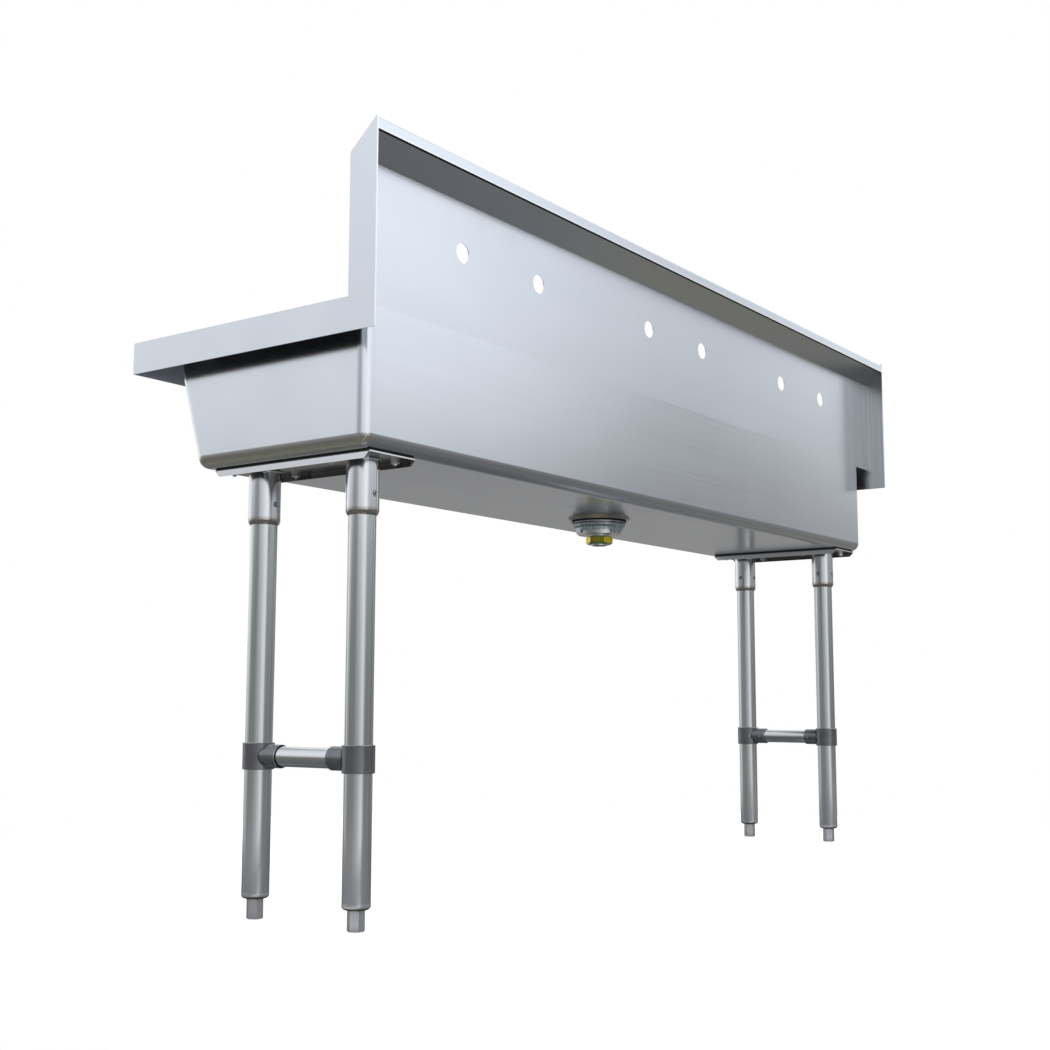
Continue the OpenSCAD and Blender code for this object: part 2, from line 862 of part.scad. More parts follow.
trough_bowl();
backsplash();
rim_deck();
end_plate(-1);  // end_plate_left
end_plate(1);  // end_plate_right
channel_pad(-1);  // channel_pad_left
channel_pad(1);  // channel_pad_right
leg_channel(-1);  // leg_channel_left
leg_channel(1);  // leg_channel_right
channel_studs();
leg_socket(-1, front_leg_y);  // leg_socket_front_left
leg_socket(-1, rear_leg_y);  // leg_socket_rear_left
leg_socket(1, front_leg_y);  // leg_socket_front_right
leg_socket(1, rear_leg_y);  // leg_socket_rear_right
socket_set_screws();
leg_tube(-1, front_leg_y);  // leg_tube_front_left
leg_tube(-1, rear_leg_y);  // leg_tube_rear_left
leg_tube(1, front_leg_y);  // leg_tube_front_right
leg_tube(1, rear_leg_y);  // leg_tube_rear_right
tee_clamp(-1, front_leg_y, 1);  // tee_clamp_front_left
tee_clamp(-1, rear_leg_y, -1);  // tee_clamp_rear_left
tee_clamp(1, front_leg_y, 1);  // tee_clamp_front_right
tee_clamp(1, rear_leg_y, -1);  // tee_clamp_rear_right
clamp_set_screws();
crossbar(-1);  // crossbar_left
crossbar(1);  // crossbar_right
foot_insert(-1, front_leg_y);  // foot_insert_front_left
foot_insert(-1, rear_leg_y);  // foot_insert_rear_left
foot_insert(1, front_leg_y);  // foot_insert_front_right
foot_insert(1, rear_leg_y);  // foot_insert_rear_right
foot(-1, front_leg_y);  // foot_front_left
foot(-1, rear_leg_y);  // foot_rear_left
foot(1, front_leg_y);  // foot_front_right
foot(1, rear_leg_y);  // foot_rear_right
strainer_body();
flange_seal();
strainer_basket();
basket_knob();
drain_gasket();
friction_ring();
locknut();
coupling_nut();
outlet_washer();
outlet_tube();
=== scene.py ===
import json
import math

import bpy
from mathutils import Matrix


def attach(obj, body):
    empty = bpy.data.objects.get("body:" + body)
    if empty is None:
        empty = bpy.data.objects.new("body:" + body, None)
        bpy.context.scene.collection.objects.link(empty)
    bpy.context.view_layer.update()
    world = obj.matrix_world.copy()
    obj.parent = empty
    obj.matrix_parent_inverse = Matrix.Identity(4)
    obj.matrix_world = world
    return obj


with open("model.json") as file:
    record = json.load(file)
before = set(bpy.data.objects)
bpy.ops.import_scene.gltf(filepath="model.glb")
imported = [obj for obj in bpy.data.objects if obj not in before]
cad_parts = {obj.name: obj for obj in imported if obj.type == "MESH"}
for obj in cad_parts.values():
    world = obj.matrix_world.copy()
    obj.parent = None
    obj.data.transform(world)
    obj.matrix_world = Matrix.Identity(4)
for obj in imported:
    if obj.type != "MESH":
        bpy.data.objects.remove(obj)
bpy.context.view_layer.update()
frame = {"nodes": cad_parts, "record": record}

# Places in metres, in the shared frame
site = {"legX": 0.8045, "frontY": -0.06735, "rearY": 0.13585, "clampZ": 0.239, "drainY": 0.0265}
legPlaces = {
    "front_left": (-site["legX"], site["frontY"]),
    "rear_left": (-site["legX"], site["rearY"]),
    "front_right": (site["legX"], site["frontY"]),
    "rear_right": (site["legX"], site["rearY"]),
}


# Shader maths as plain expressions
class Wire:
    def __init__(self, tree, socket):
        self.tree = tree
        self.socket = socket

    def math(self, how, other=0.0, flip=False):
        node = self.tree.nodes.new("ShaderNodeMath")
        node.operation = how
        for slot, term in zip(node.inputs, (other, self) if flip else (self, other)):
            if isinstance(term, Wire):
                self.tree.links.new(term.socket, slot)
            else:
                slot.default_value = term
        return Wire(self.tree, node.outputs[0])

    def __add__(self, other):
        return self.math("ADD", other)

    def __radd__(self, other):
        return self.math("ADD", other)

    def __sub__(self, other):
        return self.math("SUBTRACT", other)

    def __rsub__(self, other):
        return self.math("SUBTRACT", other, flip=True)

    def __mul__(self, other):
        return self.math("MULTIPLY", other)

    def __truediv__(self, other):
        return self.math("DIVIDE", other)

    def __pow__(self, other):
        return self.math("POWER", other)

    def clamp(self):
        return self.math("MAXIMUM", 0.0).math("MINIMUM", 1.0)

    def step(self, low, high):
        return ((self - low) / (high - low)).clamp()

    def within(self, low, high, soft=0.0002):
        return self.step(low - soft, low) * (1 - self.step(high, high + soft))

    def size(self):
        return self.math("ABSOLUTE")

    # A noise taken about zero
    def swing(self, share):
        return (self - 0.5) * share


# The nodes of one material or world
class Net:
    def __init__(self, tree):
        self.tree = tree
        tree.nodes.clear()

    def add(self, kind, values=None, **settings):
        node = self.tree.nodes.new(kind)
        for key, value in settings.items():
            setattr(node, key, value)
        for key, value in (values or {}).items():
            value = value.socket if isinstance(value, Wire) else value
            if isinstance(value, bpy.types.NodeSocket):
                self.tree.links.new(value, node.inputs[key])
            else:
                node.inputs[key].default_value = value
        return node

    # White is shown in full to the camera and in part to reflections
    def shown(self, share):
        path = self.add("ShaderNodeLightPath")
        camera, glossy, through = (
            Wire(self.tree, path.outputs[name])
            for name in ("Is Camera Ray", "Is Glossy Ray", "Is Transmission Ray")
        )
        return (camera + glossy * share + through).clamp()


class Finish(Net):
    def __init__(self, name):
        self.material = bpy.data.materials.new(name)
        self.material.use_nodes = True
        super().__init__(self.material.node_tree)
        self.coords = self.add("ShaderNodeTexCoord").outputs["Object"]

    def stretched(self, scale):
        node = self.add("ShaderNodeMapping", {"Vector": self.coords, "Scale": scale})
        return node.outputs["Vector"]

    def noise(self, scale, detail=3.0, roughness=0.5, vector=None):
        values = {"Vector": vector or self.coords, "Scale": scale}
        values.update({"Detail": detail, "Roughness": roughness})
        return Wire(self.tree, self.add("ShaderNodeTexNoise", values).outputs["Fac"])

    def blendColours(self, amount, first, second):
        ends = [
            end if isinstance(end, bpy.types.NodeSocket) else (*end, 1.0)
            for end in (first, second)
        ]
        values = {0: amount, 6: ends[0], 7: ends[1]}
        return self.add("ShaderNodeMix", values, data_type="RGBA").outputs[2]

    def axis(self, name):
        node = self.add("ShaderNodeSeparateXYZ", {"Vector": self.coords})
        return Wire(self.tree, node.outputs[name])

    def bump(self, height, strength, distance):
        values = {"Height": height, "Strength": strength, "Distance": distance}
        return self.add("ShaderNodeBump", values).outputs["Normal"]

    def finish(self, **values):
        values = {key.replace("_", " "): value for key, value in values.items()}
        return self.finishWith(self.add("ShaderNodeBsdfPrincipled", values))

    def finishWith(self, shader):
        self.add("ShaderNodeOutputMaterial", {0: shader.outputs[0]})
        return self.material


# Brushed steel: fine lines along one axis, faint smudges and a slow change of gloss.
# marks adds a piece's own marks, mostly painted edge highlights and painted shade, and says how
# metallic it is
def brushedSteel(name, look, marks=None):
    steel = Finish(name)
    lines = steel.noise(1.0, detail=2.0, roughness=0.6, vector=steel.stretched(look["lines"]))
    broad = steel.noise(look["broadScale"], vector=steel.stretched(look["broadStretch"]))
    smudge = steel.noise(look["smudgeScale"], detail=4.0, roughness=0.6)
    tint = steel.blendColours(broad.step(*look["spread"]), look["dark"], look["light"])
    tone = steel.blendColours(lines.swing(look["lineTone"]) + 0.5, tint, look["light"])
    gloss = lines.swing(look["lineRough"]) + smudge.swing(look["smudgeRough"])
    metal = look["metallic"]
    if marks:
        tone, metal = marks(steel, tone)
    return steel.finish(
        Base_Color=tone,
        Metallic=metal,
        Roughness=(look["roughness"] + gloss).clamp(),
        Normal=steel.bump(lines, look["bump"], look["bumpDepth"]),
    )


sheetLook = {
    "dark": (0.70, 0.735, 0.78),
    "light": (0.80, 0.83, 0.87),
    "spread": (0.3, 0.7),
    "lines": (3.0, 900.0, 900.0),
    "broadScale": 2.0,
    "broadStretch": (0.5, 3.0, 3.0),
    "smudgeScale": 7.0,
    "lineTone": 0.3,
    "roughness": 0.24,
    "lineRough": 0.1,
    "smudgeRough": 0.06,
    "bump": 0.08,
    "bumpDepth": 0.0002,
    "metallic": 1.0,
}
plateLook = dict(sheetLook, lines=(900.0, 3.0, 900.0))
bowlLook = dict(sheetLook, roughness=0.2)
channelLook = dict(
    sheetLook,
    lines=(900.0, 3.0, 900.0),
    roughness=0.2,
    dark=(0.74, 0.76, 0.79),
    light=(0.84, 0.86, 0.89),
)
drainLook = dict(
    sheetLook,
    lines=(500.0, 500.0, 500.0),
    roughness=0.28,
    dark=(0.72, 0.73, 0.76),
    light=(0.86, 0.86, 0.88),
)
ringLook = dict(drainLook, roughness=0.22, dark=(0.88, 0.88, 0.90), light=(0.97, 0.97, 0.98))
tubeLook = dict(
    sheetLook,
    dark=(0.60, 0.636, 0.645),
    light=(0.72, 0.756, 0.765),
    lines=(900.0, 900.0, 6.0),
    broadScale=5.0,
    broadStretch=(3.0, 3.0, 0.5),
    smudgeScale=12.0,
    lineTone=0.5,
    roughness=0.19,
    bump=0.15,
)
barLook = dict(
    tubeLook,
    lines=(900.0, 6.0, 900.0),
    broadStretch=(3.0, 0.5, 3.0),
    dark=(0.66, 0.67, 0.67),
    light=(0.78, 0.79, 0.79),
)
footLook = dict(
    tubeLook,
    metallic=0.78,
    roughness=0.24,
    dark=(0.86, 0.88, 0.88),
    light=(0.96, 0.97, 0.97),
)
socketLook = dict(
    tubeLook,
    roughness=0.16,
    lineRough=0.08,
    dark=(0.66, 0.69, 0.72),
    light=(0.80, 0.82, 0.85),
)
fastenerLook = dict(
    socketLook,
    lines=(400.0, 400.0, 400.0),
    roughness=0.25,
    dark=(0.80, 0.81, 0.83),
    light=(0.95, 0.95, 0.96),
)
screwLook = dict(
    fastenerLook, roughness=0.12, dark=(0.55, 0.56, 0.58), light=(0.85, 0.86, 0.88)
)

rubberLook = {
    "grainScale": 900.0,
    "wearScale": 60.0,
    "spread": (0.35, 0.75),
    "wornGain": 1.8,
    "roughness": 0.55,
    "wearRough": 0.25,
    "bump": 0.3,
    "bumpDepth": 0.0002,
    "pad": (0.02, 0.02, 0.021),
    "gasket": (0.012, 0.012, 0.013),
    "keyHole": (0.006, 0.006, 0.006),
}


def rubber(name, colour):
    skin = Finish(name)
    grain = skin.noise(rubberLook["grainScale"])
    wear = skin.noise(rubberLook["wearScale"])
    retouch = tuple(channel * rubberLook["wornGain"] for channel in colour)
    return skin.finish(
        Base_Color=skin.blendColours(wear.step(*rubberLook["spread"]), colour, retouch),
        Roughness=rubberLook["roughness"] + wear * rubberLook["wearRough"],
        Normal=skin.bump(grain, rubberLook["bump"], rubberLook["bumpDepth"]),
    )


# Cast or plated metal with a fine grain; marks adds a piece's own painted edge highlights and
# painted shade in creases
def castMetal(name, look, marks=None):
    cast = Finish(name)
    grain = cast.noise(look["grainScale"], detail=4.0, roughness=0.6)
    patch = cast.noise(look["patchScale"])
    tone = cast.blendColours(patch.step(*look["spread"]), look["dark"], look["light"])
    if marks:
        tone = marks(cast, tone)
    return cast.finish(
        Base_Color=tone,
        Metallic=look["metallic"],
        Roughness=(look["roughness"] + grain.swing(look["grainRough"])).clamp(),
        Normal=cast.bump(grain, look["bump"], look["bumpDepth"]),
    )


clampLook = {
    "dark": (0.19, 0.195, 0.205),
    "light": (0.26, 0.265, 0.28),
    "spread": (0.3, 0.7),
    "grainScale": 700.0,
    "patchScale": 40.0,
    "metallic": 0.6,
    "roughness": 0.2,
    "grainRough": 0.2,
    "bump": 0.15,
    "bumpDepth": 0.0003,
}
zincLook = dict(
    clampLook,
    dark=(0.32, 0.42, 0.46),
    light=(0.86, 0.93, 0.98),
    grainScale=420.0,
    patchScale=260.0,
    metallic=0.58,
    roughness=0.28,
    bump=0.3,
)

# Yellow chromate film, orange in patches, green in specks and on the chamfers; one flat has a
# painted dark reflection
filmLook = {
    "patchScale": 120.0,
    "fineScale": 420.0,
    "gold": (1.0, 0.93, 0.0),
    "orange": (1.0, 0.50, 0.02),
    "orangeSpread": (0.4, 0.62),
    "lowChamfer": (0.6280, 0.6305),
    "highChamfer": (0.6375, 0.6400),
    "flatFacing": (0.9205, 0.3907),
    "flatReach": (0.0228, 0.0230),
    # painted dark reflection on the flat facing the camera
    "shadedFlat": (0.34, 0.24, 0.02),
    "shadedFlatShare": 0.55,
    "shadedFlatPatch": 0.4,
    "shadedFlatSpread": (0.4, 0.6),
    "green": (0.16, 0.46, 0.20),
    "greenFine": 0.6,
    "greenSpread": (0.5, 0.7),
    "greenChamfer": 0.75,
    "metallic": 0.7,
    "roughness": 0.26,
    "fineRough": 0.12,
    "bump": 0.2,
    "bumpDepth": 0.0002,
}


def yellowFilm(name):
    film = Finish(name)
    x, y, z = film.axis("X"), film.axis("Y") - site["drainY"], film.axis("Z")
    patch = film.noise(filmLook["patchScale"])
    fine = film.noise(filmLook["fineScale"])
    turned = patch.step(*filmLook["orangeSpread"])
    tone = film.blendColours(turned, filmLook["gold"], filmLook["orange"])
    facing = x * filmLook["flatFacing"][0] + y * filmLook["flatFacing"][1]
    shadedFlatPatch = patch.step(*filmLook["shadedFlatSpread"]) * filmLook["shadedFlatPatch"]
    # painted dark reflection on one flat
    shadedFlat = facing.step(*filmLook["flatReach"]) * (filmLook["shadedFlatShare"] + shadedFlatPatch)
    tone = film.blendColours(shadedFlat, tone, filmLook["shadedFlat"])
    chamfer = (1 - z.step(*filmLook["lowChamfer"])) + z.step(*filmLook["highChamfer"])
    speckle = fine.step(*filmLook["greenSpread"]) * filmLook["greenFine"]
    green = (speckle + chamfer * filmLook["greenChamfer"]).clamp()
    return film.finish(
        Base_Color=film.blendColours(green, tone, filmLook["green"]),
        Metallic=filmLook["metallic"],
        Roughness=filmLook["roughness"] + fine * filmLook["fineRough"],
        Normal=film.bump(fine, filmLook["bump"], filmLook["bumpDepth"]),
    )


markLook = {
    # white, for painted highlights on edges and for the light lower band of the legs
    "bright": (0.99, 0.99, 1.0),
    # painted shadow, under the splash flange and at the drain ring's lower corner
    "paintedShadow": (0.03, 0.03, 0.03),
    "shade": (0.26, 0.26, 0.25),
    # painted reflection along the end folds
    "foldHighlight": (0.80, 0.77, 0.50),
    "warm": (0.98, 0.80, 0.58),
    # darker, warmer tone of the drain recess
    "retouch": (0.52, 0.49, 0.43),
    # painted shade on the inner faces of the end plates, in dark and light streaks
    "innerShade": (0.44, 0.456, 0.456),
    "innerShadeLight": (0.54, 0.557, 0.557),
    "fold": (0.79, 0.78, 0.735),
    # painted shade on the rolled ends of the sockets
    "roll": (0.56, 0.545, 0.50),
    # painted shade under the insert collars
    "collar": (0.22, 0.21, 0.14),
    # painted highlight on the clamps' edges
    "castEdgeHighlight": (0.6, 0.6, 0.62),
    # painted shade in the clamps' creases and mouths
    "castShade": (0.01, 0.01, 0.01),
}

# A plate's rear edge has a painted highlight; its inner face has painted shade, dark and streaky
plateMark = {
    "streaks": (300.0, 260.0, 2.0),
    "spread": (0.3, 0.7),
    "innerFace": (0.9131, 0.9133),
    "rearEdge": (0.2523, 0.2526),
}


def plateMarks(steel, tone):
    streaks = steel.noise(1.0, roughness=0.6, vector=steel.stretched(plateMark["streaks"]))
    spread = streaks.step(*plateMark["spread"])
    innerShading = steel.blendColours(spread, markLook["innerShade"], markLook["innerShadeLight"])
    inner = 1 - steel.axis("X").size().step(*plateMark["innerFace"])
    rear = steel.axis("Y").step(*plateMark["rearEdge"])
    tone = steel.blendColours(inner, tone, innerShading)
    return steel.blendColours(rear, tone, markLook["bright"]), 1.0


# Painted shadow under the flange at the top of the slope, and a painted highlight on the flange's
# lower edge
splashMark = {
    "slope": 0.8858,
    "underSlope": (0.9087, 0.9089),
    "paintedShadowFront": (0.2518, 0.2522),
    "paintedShadowRise": (1.1194, 1.1198),
    "lipFront": (0.2522, 0.2526),
    "lipRise": (1.1156, 1.1160),
}


def splashMarks(steel, tone):
    y, z = steel.axis("Y"), steel.axis("Z")
    under = 1 - (z - y * splashMark["slope"]).step(*splashMark["underSlope"])
    paintedShadow = z.step(*splashMark["paintedShadowRise"]) * (1 - y.step(*splashMark["paintedShadowFront"])) * under
    lip = y.step(*splashMark["lipFront"]) * (1 - z.step(*splashMark["lipRise"]))
    tone = steel.blendColours(paintedShadow, tone, markLook["paintedShadow"])
    return steel.blendColours(lip, tone, markLook["bright"]), 1.0


# A painted reflection makes a thin light line along the end folds that turns up round the rear
# corners.
# The recess is darker and warmer, with a painted warm highlight on one side
bowlMark = {
    "endStart": (0.8558, 0.8562),
    "cornerStart": (0.1857, 0.1861),
    "line": (0.6809, 0.6821, 0.0004),
    "turnedPlane": (0.759, -0.4456, 0.4748, 0.89793),
    "turnedWidth": (0.0006, 0.0010),
    "turnedRise": (0.6807, 0.694),
    "foldAxis": (0.8561, 0.1859, 0.6953),
    "outerFace": (0.0180, 0.0184),
    "foldStart": (0.856, 0.860),
    "foldRise": (0.690, 0.6965),
    "recessReach": (0.046, 0.0622),
    "recessTop": (0.6765, 0.6768),
    "glintFacing": (0.872, 0.49),
    "glintSpread": (0.93, 1.0),
    "lineDull": 0.85,
    "glintDull": 0.4,
}


def bowlMarks(steel, tone):
    x, y, z = steel.axis("X").size(), steel.axis("Y"), steel.axis("Z")
    acrossX, acrossY, acrossZ, plane = bowlMark["turnedPlane"]
    foldX, foldY, foldZ = bowlMark["foldAxis"]
    past = y.step(*bowlMark["cornerStart"])
    line = z.within(*bowlMark["line"]) * (1 - past)
    turned = (x * acrossX + y * acrossY + z * acrossZ - plane).size()
    corner = (1 - turned.step(*bowlMark["turnedWidth"])) * past
    corner = corner * z.within(*bowlMark["turnedRise"])
    beyond = (y - foldY).math("MAXIMUM", 0.0)
    fromAxis = ((x - foldX) ** 2 + beyond * beyond + (z - foldZ) ** 2) ** 0.5
    outside = fromAxis.step(*bowlMark["outerFace"])
    # painted reflection line along the end folds and round the rear corners
    foldHighlight = (line + corner).clamp() * x.step(*bowlMark["endStart"]) * outside
    fold = (1 - z.step(*bowlMark["foldRise"])) * x.step(*bowlMark["foldStart"]) * outside
    tone = steel.blendColours(fold, tone, markLook["fold"])

    fromDrain = y - site["drainY"]
    reach = (x * x + fromDrain ** 2) ** 0.5
    recess = reach.within(*bowlMark["recessReach"]) * (1 - z.step(*bowlMark["recessTop"]))
    glintX, glintY = bowlMark["glintFacing"]
    facing = (steel.axis("X") * glintX + fromDrain * glintY) / reach
    # painted warm highlight on one side of the recess
    glint = facing.step(*bowlMark["glintSpread"]) * recess
    retouch = steel.blendColours(glint, markLook["retouch"], markLook["warm"])
    tone = steel.blendColours(recess, tone, retouch)
    metal = 1 - foldHighlight * bowlMark["lineDull"] - glint * bowlMark["glintDull"]
    return steel.blendColours(foldHighlight, tone, markLook["foldHighlight"]), metal


# Painted shade inside a channel, and painted highlights on its cut edges
channelMark = {
    "inside": (0.7557, 0.8533),
    "rearEdge": (0.1925, 0.1928),
    "lowEdge": (0.6637, 0.6640),
}


def channelMarks(steel, tone):
    x, y, z = steel.axis("X").size(), steel.axis("Y"), steel.axis("Z")
    inside = x.within(*channelMark["inside"])
    low = (1 - z.step(*channelMark["lowEdge"])) * (1 - inside)
    cut = (y.step(*channelMark["rearEdge"]) + low).clamp()
    tone = steel.blendColours(inside, tone, markLook["shade"])
    return steel.blendColours(cut, tone, markLook["bright"]), 1.0


# The ring's lower corner is in shadow above the locknut
ringMark = {"lowEdge": (0.6670, 0.6673)}


def ringMarks(steel, tone):
    low = 1 - steel.axis("Z").step(*ringMark["lowEdge"])
    return steel.blendColours(low, tone, markLook["paintedShadow"]), 1.0


# A clamp has painted highlights on its edges, painted shade in the crease where its boss meets
# the ring, and painted shade in the mouth round the crossbar. Places are from the middle between
# the two clamps of an end
clampMark = {
    "middleY": 0.03425,
    "legAway": 0.1016,
    "ringEdge": (0.0191, 0.0193),
    "ringFace": (0.0241, 0.0243),
    "creaseShade": (0.0242, 0.0251),
    "bossEdge": (0.0519, 0.0526),
    "mouth": (0.0517, 0.0518),
    "edgeHighlightShare": 0.6,
}


def clampMarks(cast, tone):
    x = cast.axis("X").size() - site["legX"]
    along = (cast.axis("Y") - clampMark["middleY"]).size()
    rise = (cast.axis("Z") - site["clampZ"]).size()
    reach = (x * x + (along - clampMark["legAway"]) ** 2) ** 0.5
    ends = rise.step(*clampMark["ringEdge"]) * (1 - reach.step(*clampMark["ringFace"]))
    # painted highlights on the ring's edges and the boss's end
    retouch = (ends + along.within(*clampMark["bossEdge"])).clamp() * clampMark["edgeHighlightShare"]
    mouth = 1 - along.step(*clampMark["mouth"])
    creaseShade = (reach.within(*clampMark["creaseShade"]) + mouth).clamp()
    tone = cast.blendColours(retouch, tone, markLook["castEdgeHighlight"])
    return cast.blendColours(creaseShade, tone, markLook["castShade"])


# Painted shade on the underside of an insert's collar
insertMark = {"collar": (0.0285, 0.0327), "collarMetal": 0.2}


def insertMarks(steel, tone):
    collar = steel.axis("Z").within(*insertMark["collar"])
    metal = footLook["metallic"] + collar * insertMark["collarMetal"]
    return steel.blendColours(collar, tone, markLook["collar"]), metal


# Lighter and less metallic towards the floor
tubeMark = {"lowBand": (0.06, 0.24), "lowBandShare": 0.6, "lowBandDull": 0.14}


def tubeMarks(steel, tone):
    low = 1 - steel.axis("Z").step(*tubeMark["lowBand"])
    tone = steel.blendColours(low * tubeMark["lowBandShare"], tone, markLook["bright"])
    return tone, 1 - low * tubeMark["lowBandDull"]


# Painted shade on the rolled end of a socket
socketMark = {"rolledEnd": (0.5985, 0.6012)}


def socketMarks(steel, tone):
    rolled = 1 - steel.axis("Z").step(*socketMark["rolledEnd"])
    return steel.blendColours(rolled, tone, markLook["roll"]), 1.0


print("materials")
plateSteel = brushedSteel("brushedEndPlate", plateLook, plateMarks)
insertSteel = brushedSteel("insertSteel", footLook, insertMarks)
ownFinishes = {
    "trough_bowl": brushedSteel("brushedBowl", bowlLook, bowlMarks),
    "backsplash": brushedSteel("brushedSplash", sheetLook, splashMarks),
    "end_plate_left": plateSteel,
    "end_plate_right": plateSteel,
}
ownFinishes.update({"foot_insert_" + leg: insertSteel for leg in legPlaces})
channelSteel = brushedSteel("millChannel", channelLook, channelMarks)
fastenerSteel = brushedSteel("platedFastener", fastenerLook)
finishes = {
    "brushed_sheet": brushedSteel("brushedSheet", sheetLook),
    "pad_rubber": rubber("padRubber", rubberLook["pad"]),
    "channel_steel": channelSteel,
    "fastener_steel": fastenerSteel,
    "socket_steel": brushedSteel("polishedSocket", socketLook, socketMarks),
    "screw_black": brushedSteel("brightSetScrew", screwLook),
    "tube_steel": brushedSteel("brushedTube", tubeLook, tubeMarks),
    "clamp_cast": castMetal("charcoalCasting", clampLook, clampMarks),
    "screw_bright": fastenerSteel,
    "bar_steel": brushedSteel("brushedBar", barLook),
    "foot_alloy": brushedSteel("footSteel", footLook),
    "strainer_steel": brushedSteel("satinStrainer", drainLook),
    "gasket_rubber": rubber("gasketRubber", rubberLook["gasket"]),
    "ring_zinc": brushedSteel("satinRing", ringLook, ringMarks),
    "locknut_zinc": castMetal("mottledZinc", zincLook),
    "coupling_brass": yellowFilm("yellowFilm"),
}
for part in frame["record"]["subparts"]:
    mesh = frame["nodes"][part["node"]].data
    mesh.materials.clear()
    mesh.materials.append(ownFinishes.get(part["node"], finishes[part["material_slot"]]))


def lone():
    bpy.ops.object.select_all(action="DESELECT")


# The visible end of a set screw: a bright rim, and black pieces that are painted shade at the
# edge of the tapped hole and in the key hole. rim, edge and key are shares of the screw's radius
screwDetail = {
    "socketRise": 0.6201,
    "socketReach": 0.0246,
    "socketScrew": 0.004,
    "clampReach": 0.02405,
    "bossReach": 0.0185,
    "bossPlace": 0.04,
    "clampScrew": 0.003,
    "ringTurn": 34,
    "rim": (0.78, 0.17),
    "edge": (1.03, 0.1),
    "key": 0.55,
    "keyDepth": 0.0006,
}
blackHole = rubber("keyHoleShade", rubberLook["keyHole"])


def screwFace(name, centre, reach, turn, radius):
    heading = math.radians(turn)
    away = (math.cos(heading), math.sin(heading))
    place = [centre[0] + away[0] * reach, centre[1] + away[1] * reach, centre[2]]
    depth = screwDetail["keyDepth"]
    sunk = [place[0] - away[0] * depth, place[1] - away[1] * depth, place[2]]
    facing = (0, math.pi / 2, heading)
    made = []
    for ring, finish in (("rim", finishes["screw_black"]), ("edge", blackHole)):
        major, minor = screwDetail[ring]
        lone()
        bpy.ops.mesh.primitive_torus_add(
            major_segments=32,
            minor_segments=10,
            major_radius=radius * major,
            minor_radius=radius * minor,
            location=place,
            rotation=facing,
        )
        bpy.ops.object.shade_smooth()
        bpy.context.object.data.materials.append(finish)
        made.append(bpy.context.object)
    lone()
    bpy.ops.mesh.primitive_cylinder_add(
        vertices=6,
        radius=radius * screwDetail["key"],
        depth=depth,
        location=sunk,
        rotation=facing,
    )
    bpy.context.object.data.materials.append(blackHole)
    made.append(bpy.context.object)
    for piece in made:
        piece.select_set(True)
    bpy.ops.object.join()
    piece = bpy.context.object
    bpy.ops.object.transform_apply(location=True, rotation=True, scale=True)
    piece.name = name
    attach(piece, "sink")


print("set screws")
for leg, (x, y) in legPlaces.items():
    inboard = 180 if x > 0 else 0
    toward = 1 if y < 0 else -1
    onSocket = (x, y, screwDetail["socketRise"])
    onRing = (x, y, site["clampZ"])
    onBoss = (x, y + toward * screwDetail["bossPlace"], site["clampZ"])
    ringTurn = inboard - math.copysign(1, x) * toward * screwDetail["ringTurn"]
    for i, turn in enumerate((90, inboard)):
        name = "socketScrewFace_%s_%d" % (leg, i)
        reach, radius = screwDetail["socketReach"], screwDetail["socketScrew"]
        screwFace(name, onSocket, reach, turn, radius)
    for name, centre, reach, turn in (
        ("ringScrewFace_" + leg, onRing, screwDetail["clampReach"], ringTurn),
        ("bossScrewFace_" + leg, onBoss, screwDetail["bossReach"], inboard),
    ):
        screwFace(name, centre, reach, turn, screwDetail["clampScrew"])

# A weld bead closes the top of each socket against its channel; it takes the channel's finish and
# its painted shade
beadLook = {"major": 0.0277, "minor": 0.0008, "z": 0.6719}
print("weld beads")
for leg, (x, y) in legPlaces.items():
    lone()
    bpy.ops.mesh.primitive_torus_add(
        major_segments=96,
        minor_segments=8,
        major_radius=beadLook["major"],
        minor_radius=beadLook["minor"],
        location=(x, y, beadLook["z"]),
    )
    bead = bpy.context.object
    bead.name = "socketWeld_" + leg
    bpy.ops.object.transform_apply(location=True, rotation=True, scale=True)
    bpy.ops.object.shade_smooth()
    bead.data.materials.append(channelSteel)
    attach(bead, "sink")

# A thread runs along each foot's stem, hidden in the insert until the foot is screwed down
threadLook = {
    "crest": 0.00075,
    "middle": 0.0055,
    "pitch": 0.00175,
    "turns": 27,
    "steps": 24,
    "low": 0.0315,
}
print("foot threads")
for leg, (x, y) in legPlaces.items():
    lone()
    bpy.ops.mesh.primitive_circle_add(
        vertices=4, radius=threadLook["crest"], rotation=(math.pi / 2, 0, 0)
    )
    thread = bpy.context.object
    thread.name = "footThread_" + leg
    bpy.ops.object.transform_apply(location=True, rotation=True, scale=True)
    bpy.ops.object.mode_set(mode="EDIT")
    bpy.ops.mesh.select_all(action="SELECT")
    bpy.ops.transform.translate(value=(threadLook["middle"], 0, 0))
    bpy.ops.object.mode_set(mode="OBJECT")
    winding = thread.modifiers.new("winding", "SCREW")
    winding.axis = "Z"
    winding.screw_offset = threadLook["pitch"]
    winding.iterations = threadLook["turns"]
    winding.steps = threadLook["steps"]
    winding.render_steps = threadLook["steps"]
    bpy.ops.object.modifier_apply(modifier=winding.name)
    thread.location = (x, y, threadLook["low"])
    bpy.ops.object.transform_apply(location=True, rotation=True, scale=True)
    bpy.ops.object.mode_set(mode="EDIT")
    bpy.ops.mesh.select_all(action="SELECT")
    bpy.ops.mesh.normals_make_consistent(inside=False)
    bpy.ops.object.mode_set(mode="OBJECT")
    thread.data.materials.append(finishes["foot_alloy"])
    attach(thread, "foot_" + leg + "_body")

